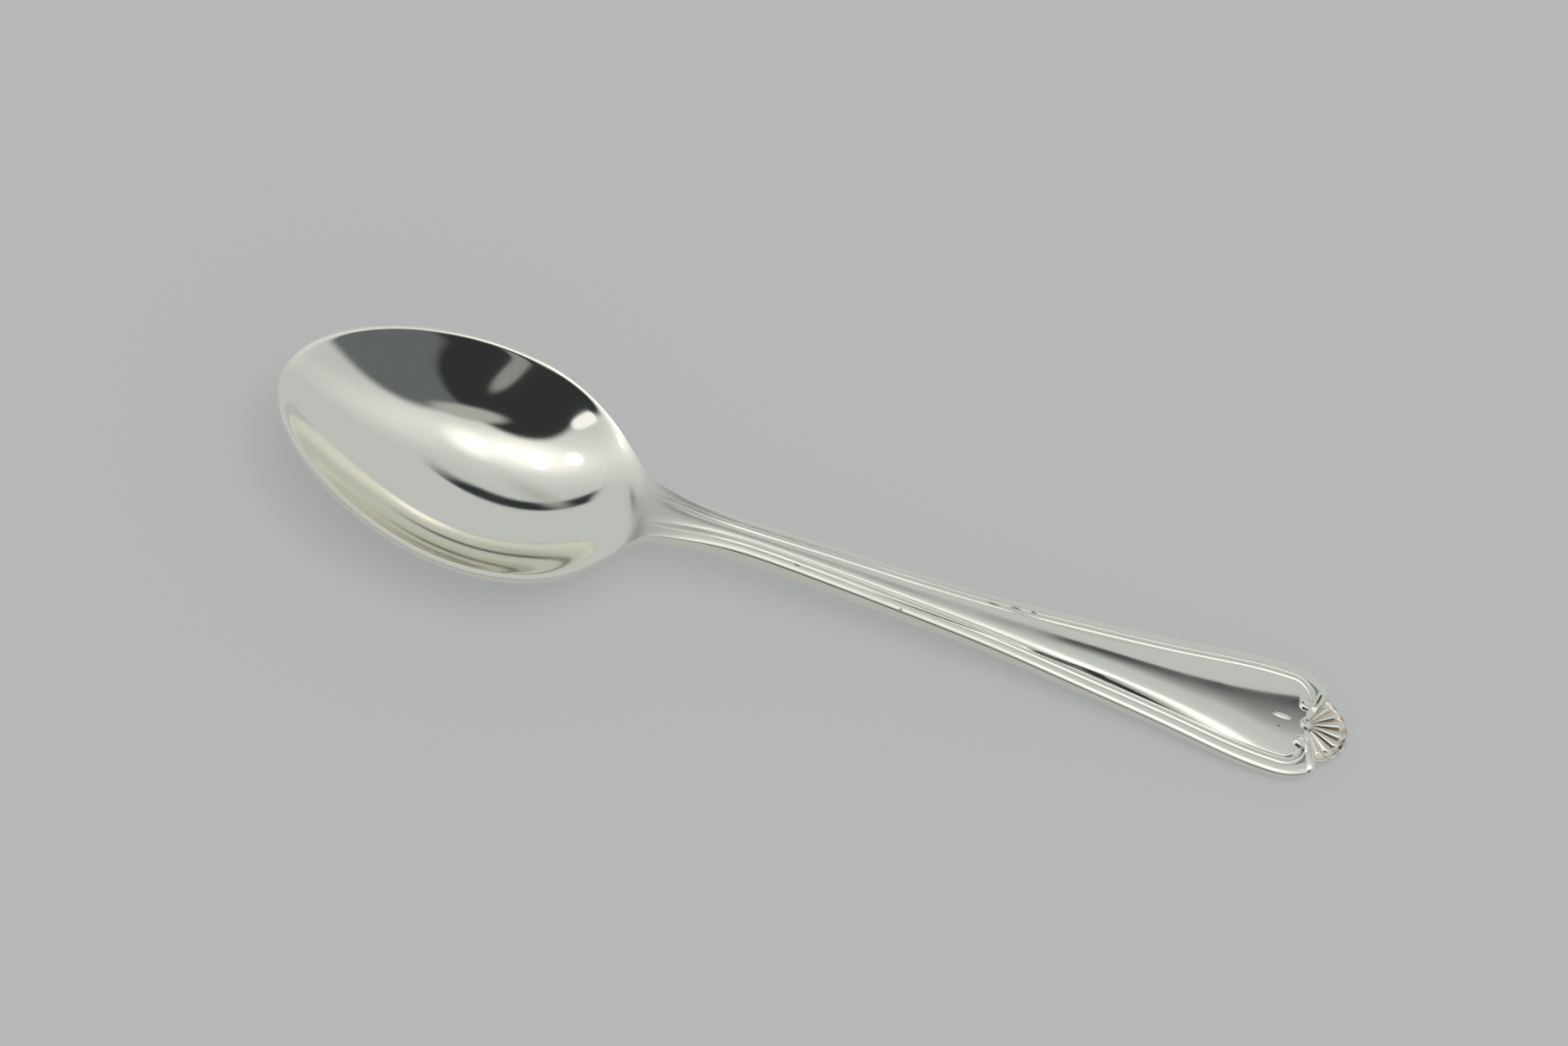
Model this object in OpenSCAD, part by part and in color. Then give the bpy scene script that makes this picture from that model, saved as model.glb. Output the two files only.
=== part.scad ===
// Teaspoon of the thread and shell pattern, lying on a table with its hollow up.
// +X runs from the bowl's tip to the shell, +Z is up, millimetres. The spoon is one struck
// blank; bowl, stem and shell end are its three regions, cut apart square to X.

/* [Spoon] */
// Overall length from the bowl's tip to the shell's tip
spoon_length = 138; // [130:1:146]
// Height of the bowl's tip above the table
tip_height = 13.4; // [12:0.1:15]
// Height of the rim beside the hollow's deepest part
rim_height = 8; // [7.4:0.1:8.8]
// Height of the stem's edge just behind the heel
arch_height = 8.5; // [7.8:0.1:9.6]
// Heights of the outer edge at even stations, each as shares of tip, rim and arch height
edge_height_shares = [
    [1, 0, 0], [0.14, 0.92, 0], [0, 1, 0], [0, 0, 1], [0, 0, 0.71], [0, 0, 0.475], [0, 0, 0.27]
];

/* [Bowl] */
// Length of the bowl's oval
bowl_length = 45.6; // [43:0.1:49]
// Widest width of the bowl
bowl_width = 30.2; // [27.5:0.1:33]
// How far the oval's fullness leans to the handle, a share
bowl_lean_share = 0.238; // [0.1:0.01:0.35]
// How much the oval's two ends are filled out, a share
bowl_fill_share = -0.026; // [-0.2:0.01:0.1]
// Flat land around the hollow
rim_land = 0.6; // [0.3:0.1:1]
// Metal at the bottom of the bowl
bowl_wall = 1.0; // [0.8:0.1:1.4]
// Metal at the bowl's rim
rim_thick = 0.95; // [0.8:0.05:1.3]
// Fullness of the hollow's walls, a share
hollow_full_share = 0.3; // [0:0.05:0.5]
// How deep the bowl's lowest point is pressed flat on the table
bowl_press = 0.1; // [0.08:0.01:0.14]
// Half the length and width of the flat under the bowl
foot_half = 1; // [0.8:0.1:1.2]

/* [Handle] */
// Widest width of the handle, at the shoulders
handle_width = 14.8; // [13.4:0.1:16.4]
// Half widths at even stations from heel to shoulders and one beyond, as shares of the widest
stem_width_shares = [0.63, 0.234, 0.293, 0.341, 0.409, 0.595, 0.776, 1.112, 0.776];
// Metal at the stem's edge
stem_thick = 1.6; // [1.3:0.1:2]
// Metal at the shell end's edge
end_thick = 1.15; // [1:0.05:1.5]
// How deep the shell end's underside is pressed flat on the table
end_press = 0.1; // [0.05:0.01:0.15]
// Extra metal under the middle of the stem
stem_belly = 0.5; // [0.3:0.1:0.7]
// Extra metal under the middle of the shell end
end_belly = 0.1; // [0.05:0.05:0.3]

/* [Threads] */
// Distance of the thread's middle from the edge on the narrow stem
thread_in_narrow = 1.1; // [1:0.05:1.2]
// Distance of the thread's middle from the edge at the shoulders
thread_in_wide = 1.75; // [1.5:0.05:2.1]
// Width of the raised thread
thread_width = 0.44; // [0.34:0.02:0.5]
// Width of the groove on either side of the thread
groove_width = 0.26; // [0.2:0.02:0.3]
// Depth of the grooves
groove_depth = 0.16; // [0.08:0.01:0.2]
// How far the thread stands above the band beside it
thread_rise = 0.064; // [0:0.01:0.1]
// Rise of the outer band from the edge to the groove
band_rise = 0.28; // [0.2:0.02:0.4]
// Rise of the panel's crown where the handle is wide
panel_rise = 0.55; // [0.4:0.05:0.7]

/* [Shell] */
// From the shell's hub to its tip
shell_reach = 5.6; // [5.2:0.1:6]
// From the shell's tip back to the notches beside it
notch_back = 3.4; // [3.1:0.1:3.7]
// Half the width across the notches
notch_half = 4.4; // [4.1:0.1:4.7]
// Length of the round shoulders
shoulder_length = 5.6; // [5.2:0.1:6.2]
// Number of flutes in the shell, an odd number
flutes = 7; // [5:2:9]
// Height of the flutes
flute_rise = 0.36; // [0.2:0.02:0.5]
// Depth of the scallops along the shell's edge
scallop_depth = 0.1; // [0.05:0.01:0.2]
// Height of the hub and the two volutes
boss_rise = 0.36; // [0.2:0.02:0.5]
// Height of the lip along the shell's edge
lip_rise = 0.16; // [0.05:0.01:0.25]
// Width of the lip along the shell's edge
lip_width = 0.9; // [0.6:0.1:1.2]
// Radius of a volute
volute_radius = 0.86; // [0.74:0.02:0.94]
// Distance of a volute's middle from the axis
volute_off = 2.5; // [2.3:0.1:2.7]
// Radius of the hub
hub_radius = 0.85; // [0.7:0.05:1]
// Half the width of the arm beside each volute
arm_half = 0.6; // [0.4:0.1:0.8]
// Height of the pip in front of the hub
pip_rise = 0.16; // [0.05:0.01:0.2]
// Length of the pip
pip_length = 2.2; // [1.6:0.1:2.8]
// Width of the pip
pip_width = 0.7; // [0.5:0.1:0.9]
// From the pip's middle to the hub
pip_gap = 2.6; // [2.3:0.1:3]

/* [Hidden] */
tip_x = spoon_length / 2;
half_bowl = bowl_width / 2;
half_handle = handle_width / 2;
hollow_half = half_bowl - rim_land;
end_height = end_thick + end_belly - end_press;
edge_heights = concat(
    [for (c = edge_height_shares) c * [tip_height, rim_height, arch_height]],
    [end_height]
);
// Places along the bowl as shares of its length: where its depth is measured, the flat it rests
// on, start of the stem's takeover, its end, first station of the stem's widths, cut between
// bowl and stem
deep_share = 0.62;
foot_share = 0.645;
stem_from_share = 0.51;
stem_full_share = 0.81;
spread_start_share = 0.91;
bowl_end_share = 1.15;
stem_from = bowl_length * stem_from_share;
stem_full = bowl_length * stem_full_share;
spread_start = bowl_length * spread_start_share;
bowl_end = bowl_length * bowl_end_share;
hub_at = spoon_length - shell_reach;
notch_at = spoon_length - notch_back;
shoulder_start = notch_at - shoulder_length;
stem_end = shoulder_start - half_handle;
// Threads and crown rise out of the plain heel between these shares of the bowl's length
fade_from_share = 1;
fade_full_share = 1.3;
fade_from = bowl_length * fade_from_share;
fade_full = bowl_length * fade_full_share;
// Reach over which oval and stem melt into one outline, and softness of the hollow's edge at
// the rim and at the heel, as shares of the half bowl
melt_share = 0.69;
rim_soft_share = 0.035;
heel_soft_share = 0.16;
under_soft_share = 0.6;
soft_from_share = 0.6;
soft_over_share = 0.35;
// Radius of the edges
edge_round = 0.22;
thread_apart = thread_width / 2 + groove_width / 2;
thread_reach = thread_apart + groove_width / 2;
// The thread turns round the shoulders and stops just past the hub
turn_past = 0.4;
turn_end = hub_at + turn_past;
turn_round = 3.05;
turn_x = turn_end - turn_round;
turn_y = half_handle - thread_in_wide - turn_round;
// Most that the crown rises as a share of the panel's half width, and how full it is
panel_rise_share = 0.175;
panel_full_share = 0.65;
// Where the panel is narrow it turns down more steeply over a share of its half width at its
// brink, by a share of that width. This ends between these two half widths.
brink_share = 0.33;
brink_rise_share = 0.075;
brink_from = 2.7;
brink_until = 4.9;
// Over the last length before the terminal the panel's crown comes down to a share of its rise
// and gets flatter across, and at its border it rolls down to the thread
panel_lead = 12;
panel_end_share = 0.6;
panel_flat_share = 0.3;
panel_roll = 1.4;
// The relief of the terminal starts this far before the thread's turn
terminal_lead = 2;
volute_back = 0.5;
volute_at = hub_at - volute_back;
hub_bare_share = 0.6;
hub_ring_share = 0.66;
hub_core_share = 0.45;
hub_open = 45;
hub_open_soft = 40;
hub_soft = 0.5;
flute_root_share = 0.3;
// Half angle of the shell's oval at the notches, its two radii, and the fan seen from the hub
notch_angle = 55;
shell_half = notch_half / sin(notch_angle);
shell_deep = notch_back / (1 - cos(notch_angle));
fan = atan2(notch_half, notch_at - hub_at);
fan_soft = 6;
arm_turn = 9;
arm_from = 1.9;
arm_soft = 0.8;
arm_rise_share = 0.7;
hub_rise_share = 0.8;
// Share of the handle's width at which the threads keep to the narrow stem's distance
narrow_share = 0.28;
tiny = 0.0001;

function clamp01(v) = min(max(v, 0), 1);
function ease(v) = clamp01(v) * clamp01(v) * (3 - 2 * clamp01(v));
function mix(a, b, t) = a + (b - a) * t;
function bump(v) = max(0, 1 - v * v);
function soft(v, e) = (v + sqrt(v * v + e * e)) / 2;
function soft_max(a, b, k) = max(a, b) + k * pow(max(k - abs(a - b), 0) / k, 3) / 6;

// A smooth curve through the zone of evenly spaced control values c, u in 0 to len(c) - 1
function knot(c, i) =
    i < 0 ? 2 * c[0] - c[1]
    : i > len(c) - 1 ? 2 * c[len(c) - 1] - c[len(c) - 2]
    : c[i];
function blend4(a, b, c, d, t) =
    (pow(1 - t, 3) * a + (3 * pow(t, 3) - 6 * t * t + 4) * b
    + (-3 * pow(t, 3) + 3 * t * t + 3 * t + 1) * c + pow(t, 3) * d) / 6;
function spline_at(c, i, t) =
    blend4(knot(c, i - 1), knot(c, i), knot(c, i + 1), knot(c, i + 2), t);
function spline(c, u) = spline_at(c, floor(u), u - floor(u));

// Height of the outer edge at station s, counted from the bowl's tip
function edge(s) = spline(edge_heights, s / spoon_length * (len(edge_heights) - 1));

// Squared half width of the bowl's oval, below zero past its ends
function oval_raw(t) = (1 - t * t) * (1 + bowl_lean_share * t + bowl_fill_share * t * t);
oval_peak = max([for (i = [0:100]) oval_raw(i / 100)]);
function oval2(s) = half_bowl * half_bowl * oval_raw(min(2 * s / bowl_length - 1, 1.3)) / oval_peak;
function spread(s) =
    half_handle * spline(
        stem_width_shares,
        (s - spread_start) / (shoulder_start - spread_start) * (len(stem_width_shares) - 2)
    );
function stem2(s) =
    pow(spread(max(s, spread_start)) * ease((s - stem_from) / (stem_full - stem_from)), 2);
// Half width of the outline from the bowl's tip to the shoulders
function half(s) =
    s <= 0 ? 0
    : s < stem_from ? sqrt(max(oval2(s), 0))
    : sqrt(soft_max(oval2(s), stem2(s), pow(half_bowl * melt_share, 2)));

// The hollow from above and the bowl from below, both following the oval
full_depth = edge(bowl_length * deep_share) - bowl_wall + bowl_press;
under_depth = full_depth + bowl_wall - rim_thick;
function fullness(v) = v * (1 + hollow_full_share * (1 - v));
function softness(s) =
    mix(rim_soft_share, heel_soft_share, ease((s / bowl_length - soft_from_share) / soft_over_share));
function inner2(s) = oval2(s) > 0 ? pow(max(sqrt(oval2(s)) - rim_land, 0), 2) : oval2(s);
function hollow(s, y) =
    full_depth * fullness(soft((inner2(s) - y * y) / pow(hollow_half, 2), softness(s)));
function under(s, y) =
    under_depth
    * fullness(soft((oval2(s) - y * y) / pow(half_bowl, 2), softness(s) * under_soft_share));

// Threads and panel
function fade(s) = ease((s - fade_from) / (fade_full - fade_from));
function along(s) = clamp01((half(s) / half_handle - narrow_share) / (1 - narrow_share));
function thread_in(s) =
    s < shoulder_start ? mix(thread_in_narrow, thread_in_wide, along(s)) : thread_in_wide;
function thread_shift(s) =
    s < shoulder_start ? half(s) - thread_in(s) - (half_handle - thread_in_wide) : 0;
function turn_off(a, b) = norm([max(a, 0), max(b, 0)]) + min(max(a, b), 0) - turn_round;
// Signed distance from the thread's middle line, positive towards the edge
function thread_off(s, y) =
    s < stem_end ? abs(y) - (half(s) - thread_in(s))
    : turn_off(s - turn_x, abs(y) - turn_y - thread_shift(s));
function thread_relief(v) =
    band_rise + bump(v / (thread_width / 2)) * thread_rise
    - groove_depth * bump((abs(v) - thread_apart) / (groove_width / 2));
function panel_half(s) = half(min(s, shoulder_start)) - thread_in(s) - thread_reach;
function rolled(a) = 1 - pow(1 - clamp01(a), 2);
function panel_before(s) = ease((turn_end - thread_reach - s) / panel_lead);
function panel_top(s) =
    min(panel_rise, panel_rise_share * panel_half(s)) * mix(panel_end_share, 1, panel_before(s));
function panel_full(a) = bump(a) * (1 + panel_full_share * a * a);
// The thread runs out between the volutes, where the panel goes on past it
function beside_gap(y) = ease((abs(y) - volute_off) / volute_radius + 1);
function panel_past(y) = 2 * thread_reach * (1 - beside_gap(y)) - thread_reach;
function brink(s, depth) =
    brink_rise_share * panel_half(s) * rolled(depth / (brink_share * panel_half(s)))
    * ease((brink_until - panel_half(s)) / (brink_until - brink_from));
function panel_across(s, y) =
    mix(panel_full(y / panel_half(s)), 1, panel_flat_share * (1 - panel_before(s)));
function panel_crown(s, y, v) = min(
    (panel_top(s) * panel_across(s, y) + brink(s, panel_past(y) - v))
    * rolled((turn_end + panel_past(y) - s) / panel_roll),
    2 * panel_top(s) * rolled((panel_past(y) - v) / min(panel_roll, panel_half(s)))
);
function band(d, s) = band_rise * rolled(d / (thread_in(s) - thread_reach));

// Flutes, lip, hub, volutes, arms and pip of the terminal
function hub_r(s, y) = norm([s - hub_at, y]);
function hub_angle(s, y) = atan2(abs(y), s - hub_at);
function flute(a) = abs(cos(a / fan * 90 * flutes));
function shell_zone(s, y) =
    ease((fan - hub_angle(s, y)) / fan_soft + 0.5)
    * ease((hub_r(s, y) - hub_radius * hub_bare_share) / hub_soft);
function shell_relief(s, y, d) =
    mix(flute_root_share, 1, clamp01(hub_r(s, y) / shell_reach)) * flute_rise * flute(hub_angle(s, y))
    * ease((d - lip_width / 2) / lip_width)
    + lip_rise * bump((d - lip_width / 3) / (lip_width / 2));
function boss(a, b, r) = sqrt(bump(norm([a, b]) / r));
// The hub is a ring, open to the shell, round a lower core
function hub(r, a) = max(
    ease((a - hub_open) / hub_open_soft) * bump((r - hub_ring_share) / (1 - hub_ring_share)),
    hub_core_share * bump(r / hub_ring_share)
);
function bosses(s, y) =
    boss_rise * boss(s - volute_at, abs(y) - volute_off, volute_radius)
    + boss_rise * hub_rise_share * hub(hub_r(s, y) / hub_radius, hub_angle(s, y))
    + pip_rise * bump(norm([2 * (s - hub_at + pip_gap) / pip_length, 2 * y / pip_width]));
function arm_off(s, y) =
    abs((s - hub_at) * sin(fan + arm_turn) - abs(y) * cos(fan + arm_turn)) / arm_half;
function arm(s, y) =
    s < volute_at ? 0
    : boss_rise * arm_rise_share * bump(arm_off(s, y)) * ease((hub_r(s, y) - arm_from) / arm_soft);
function border(s, y, d, v) = min(band(d, s), mix(band_rise, thread_relief(v), beside_gap(y)));
function terminal(s, y, d, v) =
    mix(border(s, y, d, v) + panel_crown(s, y, v) + arm(s, y), shell_relief(s, y, d), shell_zone(s, y))
    + bosses(s, y);
function handle_relief(s, y, d, v) =
    s > turn_x - terminal_lead ? terminal(s, y, d, v)
    : v > thread_reach ? band(d, s)
    : thread_relief(v) + panel_crown(s, y, v);

// Top and underside at station s, y off the axis; d is the distance from the edge and f the
// share of the way out from the axis
function top_z(s, y, d) =
    edge(s) - hollow(s, y)
    + (s > fade_from ? fade(s) * handle_relief(s, y, d, thread_off(s, y)) : 0);
function thickness(s) =
    s < bowl_end
    ? mix(rim_thick, stem_thick, ease((s - stem_from) / (bowl_end - stem_from)))
    : mix(stem_thick, end_thick, ease((s - bowl_end) / (shoulder_start - bowl_end)));
function belly(s) =
    s < bowl_end
    ? stem_belly * ease((s - stem_full) / (bowl_end - stem_full))
    : mix(stem_belly, end_belly, ease((s - bowl_end) / (shoulder_start - bowl_end)));
function bottom_z(s, y, f) =
    max(0, edge(s) - thickness(s) - under(s, y) - belly(s) * (1 - f * f));

// A row runs from the outline point o over the middle m on the axis to o mirrored, then back
// underneath. Its columns follow the edge, the thread and, on n columns a side, the panel.
band_columns = 4;
thread_columns = 7;
edge_columns = band_columns + thread_columns;
low_columns = 9;
crossing_steps = 24;
function crossing(o, m, a, b, n) =
    n == 0 ? (a + b) / 2
    : thread_off(mix(m[0], o[0], (a + b) / 2), mix(m[1], o[1], (a + b) / 2)) > 0
    ? crossing(o, m, a, (a + b) / 2, n - 1)
    : crossing(o, m, (a + b) / 2, b, n - 1);
function panel_crowd(s) = 1 + 0.3 * ease((s - stem_end) / (shoulder_start - stem_end));
function stem_column(k, n, l, r, t, crowd) =
    k == 0 ? r
    : k <= band_columns ? mix(r, t - thread_reach, k / (band_columns + 1))
    : k <= edge_columns
    ? t - thread_reach + 2 * thread_reach * (k - band_columns - 1) / (thread_columns - 1)
    : mix(t + thread_reach, l, pow((k - edge_columns) / n, crowd));
function bowl_column(k, n, l, r) = l - (l - r) * sin(90 * (1 - k / (edge_columns + n)));
// Distance of column k from the edge along a row of length l; in the bowl the columns crowd to
// the rim, on the stem they follow the thread, and over the shell they are even
column_from_share = 0.78;
column_over_share = 0.22;
even_over = 1.6;
function column(k, n, s, l, r, t) =
    mix(mix(bowl_column(k, n, l, r),
            stem_column(k, n, l, r, min(t, l - 1.5 * thread_reach), panel_crowd(s)),
            ease((s / bowl_length - column_from_share) / column_over_share)),
        mix(r, l, k / (edge_columns + n)),
        ease((s - notch_at) / even_over + 1));
// Share of the way out of underside column k, from the axis; the first one bounds the flat
function low_share(k, l) =
    let (first = min(foot_half / l, 1 / low_columns))
    k == 0 ? 0 : mix(first, 1, sin(90 * (k - 1) / (low_columns - 1)));
function place(o, m, f, side, z) = [mix(m[0], o[0], f) - tip_x, side * mix(m[1], o[1], f) + 0, z];
function high_point(o, m, l, d, side) =
    place(o, m, 1 - d / l, side, top_z(mix(m[0], o[0], 1 - d / l), mix(m[1], o[1], 1 - d / l), d));
function low_point(o, m, f, side) =
    place(o, m, f, side, bottom_z(mix(m[0], o[0], f), mix(m[1], o[1], f), f));
function row(o, m, n) =
    let (l = max(norm(o - m), tiny))
    let (r = min(edge_round, l / 3))
    let (t = o[0] < spread_start ? l / 2 : (1 - crossing(o, m, 0, 1, crossing_steps)) * l)
    let (e = [for (k = [0:edge_columns + n]) column(k, n, o[0], l, r, t)])
    let (f = [for (k = [0:low_columns]) (1 - r / l) * low_share(low_columns - k, l)])
    let (high = top_z(o[0], o[1], 0) - r)
    let (low = bottom_z(o[0], o[1], 1) + r)
    concat(
        [for (k = [0:edge_columns + n]) high_point(o, m, l, e[k], 1)],
        [for (k = [edge_columns + n - 1:-1:0]) high_point(o, m, l, e[k], -1)],
        [place(o, m, 1, -1, high), place(o, m, 1, -1, low)],
        [for (k = [0:low_columns]) low_point(o, m, f[k], -1)],
        [for (k = [low_columns - 1:-1:0]) low_point(o, m, f[k], 1)],
        [place(o, m, 1, 1, low), place(o, m, 1, 1, high)]
    );

// A solid from closed rows of points, with flat ends where they are asked for. A flat end is
// cut in wedges from each underside stretch up to the columns above it.
function strip(a, b, n) =
    [for (i = [0:n - 1]) each [
        [a + i, b + i, a + (i + 1) % n],
        [a + (i + 1) % n, b + i, b + (i + 1) % n]
    ]];
function wedge(a, j, q, p) = concat(
    [for (i = [q * j:q * j + q - 1]) [a + i, a + i + 1, i < q * (j + 0.5) ? p : p - 1]],
    [[a + ceil(q * (j + 0.5)), p - 1, p]]
);
function flat_end(a, count, n) =
    let (high = 2 * (edge_columns + n))
    let (q = (edge_columns + n) / low_columns)
    concat(
        [for (j = [0:2 * low_columns - 1]) each wedge(a, j, q, a + count - 3 - j)],
        [[a, a + count - 3, a + count - 2], [a, a + count - 2, a + count - 1]],
        [[a + high, a + high + 1, a + high + 2], [a + high, a + high + 2, a + high + 3]]
    );
function turned(faces) = [for (f = faces) [f[2], f[1], f[0]]];
function distinct(p, f) = p[f[0]] != p[f[1]] && p[f[1]] != p[f[2]] && p[f[2]] != p[f[0]];
module solid(rows, n, first_flat, last_flat) {
    points = [for (r = rows) each r];
    count = len(rows[0]);
    faces = concat(
        [for (j = [0:len(rows) - 2]) each strip(j * count, (j + 1) * count, count)],
        first_flat ? flat_end(0, count, n) : [],
        last_flat ? turned(flat_end((len(rows) - 1) * count, count, n)) : []
    );
    polyhedron(points, [for (f = faces) if (distinct(points, f)) f]);
}
function square_row(s, n) = row([s, half(s)], [s, 0], n);

stem_panel_columns = 7;
end_panel_columns = 16;

// Rows crowd to the tip and to the heel's corners, and two of them bound the flat
tip_rows = 11;
bowl_rows = 11;
foot_rows = 6;
heel_rows = 17;
tip_zone_share = 0.2;
heel_zone_share = 0.78;
tip_zone = bowl_length * tip_zone_share;
heel_zone = bowl_length * heel_zone_share;
foot_at = bowl_length * foot_share;
module bowl() {
    color("gainsboro")
        solid(
            concat(
                [for (i = [0:tip_rows - 1]) square_row(tip_zone * pow(i / tip_rows, 2), stem_panel_columns)],
                [for (i = [0:bowl_rows])
                    square_row(mix(tip_zone, foot_at - foot_half, i / bowl_rows), stem_panel_columns)],
                [for (i = [0:foot_rows - 1])
                    square_row(mix(foot_at + foot_half, heel_zone, i / foot_rows), stem_panel_columns)],
                [for (i = [0:heel_rows])
                    square_row(mix(heel_zone, bowl_end, i / heel_rows), stem_panel_columns)]
            ),
            stem_panel_columns, false, true
        );
}

stem_rows = 24;
module stem() {
    color("silver")
        solid(
            [for (i = [0:stem_rows]) square_row(mix(bowl_end, stem_end, i / stem_rows), stem_panel_columns)],
            stem_panel_columns, true, true
        );
}

// The shell end's rows fan out from the axis round the shoulders and over the shell
side_rows = 7;
shoulder_rows = 18;
flute_rows = 4;
shell_rows = flutes * flute_rows / 2;
spine_back = 1.1;
spine_turn = shoulder_start - spine_back;
spine_hub = hub_at - hub_radius / 2;
function side_row(t) =
    row([mix(stem_end, shoulder_start, t), half(mix(stem_end, shoulder_start, t))],
        [mix(stem_end, spine_turn, t), 0], end_panel_columns);
function shoulder_row(t) =
    row([shoulder_start + shoulder_length * sin(90 * t),
         notch_half + (half_handle - notch_half) * cos(90 * t)],
        [mix(spine_turn, spine_hub, t), 0], end_panel_columns);
// Reach of the shell's oval edge from the hub at angle a
function oval_reach(a) =
    let (b = spoon_length - shell_deep - hub_at)
    let (p = pow(cos(a) / shell_deep, 2) + pow(sin(a) / shell_half, 2))
    let (q = b * cos(a) / pow(shell_deep, 2))
    (q + sqrt(q * q - p * (b * b / pow(shell_deep, 2) - 1))) / p;
function shell_edge(a) = oval_reach(a) - scallop_depth * (1 - flute(a));
function shell_row(t) =
    let (a = fan * (1 - t))
    row([hub_at + shell_edge(a) * cos(a), shell_edge(a) * sin(a)],
        [mix(spine_hub, hub_at, t), 0], end_panel_columns);
module shell_end() {
    color("lightsteelblue")
        solid(
            concat(
                [for (i = [0:side_rows - 1]) side_row(i / side_rows)],
                [for (i = [0:shoulder_rows - 1]) shoulder_row(i / shoulder_rows)],
                [for (i = [0:shell_rows]) shell_row(i / shell_rows)]
            ),
            end_panel_columns, true, false
        );
}

bowl();
stem();
shell_end();
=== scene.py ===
"""A silver-plated teaspoon of the thread and shell pattern on a pale table.

The spoon is struck from one blank, so its surface is worked out once, as closed rows of points
that run round the blank from the bowl's tip to the shell. Two node trees press the thread lines
and the shell's flutes into it, and it is then divided into its three regions.
"""
import sys

import logging
import math
from dataclasses import dataclass
from enum import Enum

import bmesh
import bpy
import numpy as np
from mathutils import Matrix, Vector


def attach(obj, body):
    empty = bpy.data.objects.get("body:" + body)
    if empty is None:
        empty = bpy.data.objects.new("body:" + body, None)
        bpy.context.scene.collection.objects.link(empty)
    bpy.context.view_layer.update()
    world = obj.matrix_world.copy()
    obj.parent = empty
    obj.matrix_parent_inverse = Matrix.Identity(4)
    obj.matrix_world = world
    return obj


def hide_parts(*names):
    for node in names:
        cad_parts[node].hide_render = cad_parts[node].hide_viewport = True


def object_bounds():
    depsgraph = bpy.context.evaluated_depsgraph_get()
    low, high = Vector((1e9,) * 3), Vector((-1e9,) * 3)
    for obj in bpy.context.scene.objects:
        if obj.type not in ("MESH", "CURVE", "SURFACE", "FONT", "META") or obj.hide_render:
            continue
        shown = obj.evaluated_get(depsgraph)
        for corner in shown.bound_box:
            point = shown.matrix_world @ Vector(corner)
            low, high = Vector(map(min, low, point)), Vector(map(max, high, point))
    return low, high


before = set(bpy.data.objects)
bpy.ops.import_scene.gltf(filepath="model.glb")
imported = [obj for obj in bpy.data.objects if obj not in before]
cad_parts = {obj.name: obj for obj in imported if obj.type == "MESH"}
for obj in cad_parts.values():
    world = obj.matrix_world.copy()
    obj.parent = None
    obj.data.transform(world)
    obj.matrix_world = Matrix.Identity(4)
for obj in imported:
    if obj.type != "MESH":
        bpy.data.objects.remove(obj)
CAD_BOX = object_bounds()

Values = np.ndarray
MM = 0.001
MERGE = 2e-7
LOG = logging.getLogger("teaspoon")

# Types of node, and the setting by which each is told what to do
MATH, VECTOR, RANGE = "ShaderNodeMath", "ShaderNodeVectorMath", "ShaderNodeMapRange"
MIX, PLACE = "ShaderNodeMix", "ShaderNodeMapping"
MAIN_OPTION = {
    MATH: "operation", VECTOR: "operation", RANGE: "interpolation_type",
    MIX: "data_type", PLACE: "vector_type",
}


def clamp(value: Values) -> Values:
    """Hold values between 0 and 1."""
    return np.clip(value, 0.0, 1.0)


def ease(value: Values) -> Values:
    """Rise smoothly from 0 to 1 while the value goes from 0 to 1."""
    held = clamp(value)
    return held * held * (3 - 2 * held)


def mix(first: Values, second: Values, share: Values) -> Values:
    """Go from the first value to the second as the share goes from 0 to 1."""
    return first + (second - first) * share


def bump(value: Values) -> Values:
    """Give a round hump of height 1 between -1 and 1."""
    return np.maximum(0.0, 1 - value * value)


def round_up(value: Values) -> Values:
    """Rise from 0 to 1 with a round shoulder while the value goes from 0 to 1."""
    return 1 - (1 - clamp(value)) ** 2


def soft(value: Values, width: Values) -> Values:
    """Give the positive part of a value, with its corner at 0 rounded."""
    return (value + np.sqrt(value * value + width * width)) / 2


def soft_max(first: Values, second: Values, reach: float) -> Values:
    """Give the larger of two values, melted together where they are within a reach."""
    near = np.maximum(reach - np.abs(first - second), 0) / reach
    return np.maximum(first, second) + reach * near ** 3 / 6


def spline(controls: Values, place: Values) -> Values:
    """Follow a smooth curve through the zone of evenly spaced control values.

    Args:
        controls: The control values.
        place: Where to read the curve, from 0 to the number of controls less one.

    Returns:
        The curve's values.
    """
    ends = (2 * controls[0] - controls[1], 2 * controls[-1] - controls[-2])
    padded = np.concatenate([ends[:1], controls, ends[1:]])
    first = np.clip(np.floor(place).astype(int), 0, len(controls) - 1)
    t = place - first
    weights = (
        (1 - t) ** 3,
        3 * t ** 3 - 6 * t * t + 4,
        -3 * t ** 3 + 3 * t * t + 3 * t + 1,
        t ** 3,
    )
    last = len(padded) - 1
    return sum(w * padded[np.clip(first + k, 0, last)] for k, w in enumerate(weights)) / 6


def linear_colour(code: str) -> tuple[float, float, float, float]:
    """Turn an sRGB hex colour to the linear colour that a shader takes.

    Args:
        code: Six hex digits after a hash.

    Returns:
        Red, green, blue and an alpha of 1.
    """
    parts = [int(code[i:i + 2], 16) / 255 for i in (1, 3, 5)]
    bent = [p / 12.92 if p <= 0.04045 else ((p + 0.055) / 1.055) ** 2.4 for p in parts]
    return (bent[0], bent[1], bent[2], 1.0)


def feed(tree: bpy.types.NodeTree, socket: bpy.types.NodeSocket, value: object) -> None:
    """Link an output to an input, or set the input's own value."""
    if isinstance(value, bpy.types.NodeSocket):
        tree.links.new(value, socket)
    else:
        socket.default_value = value


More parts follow.
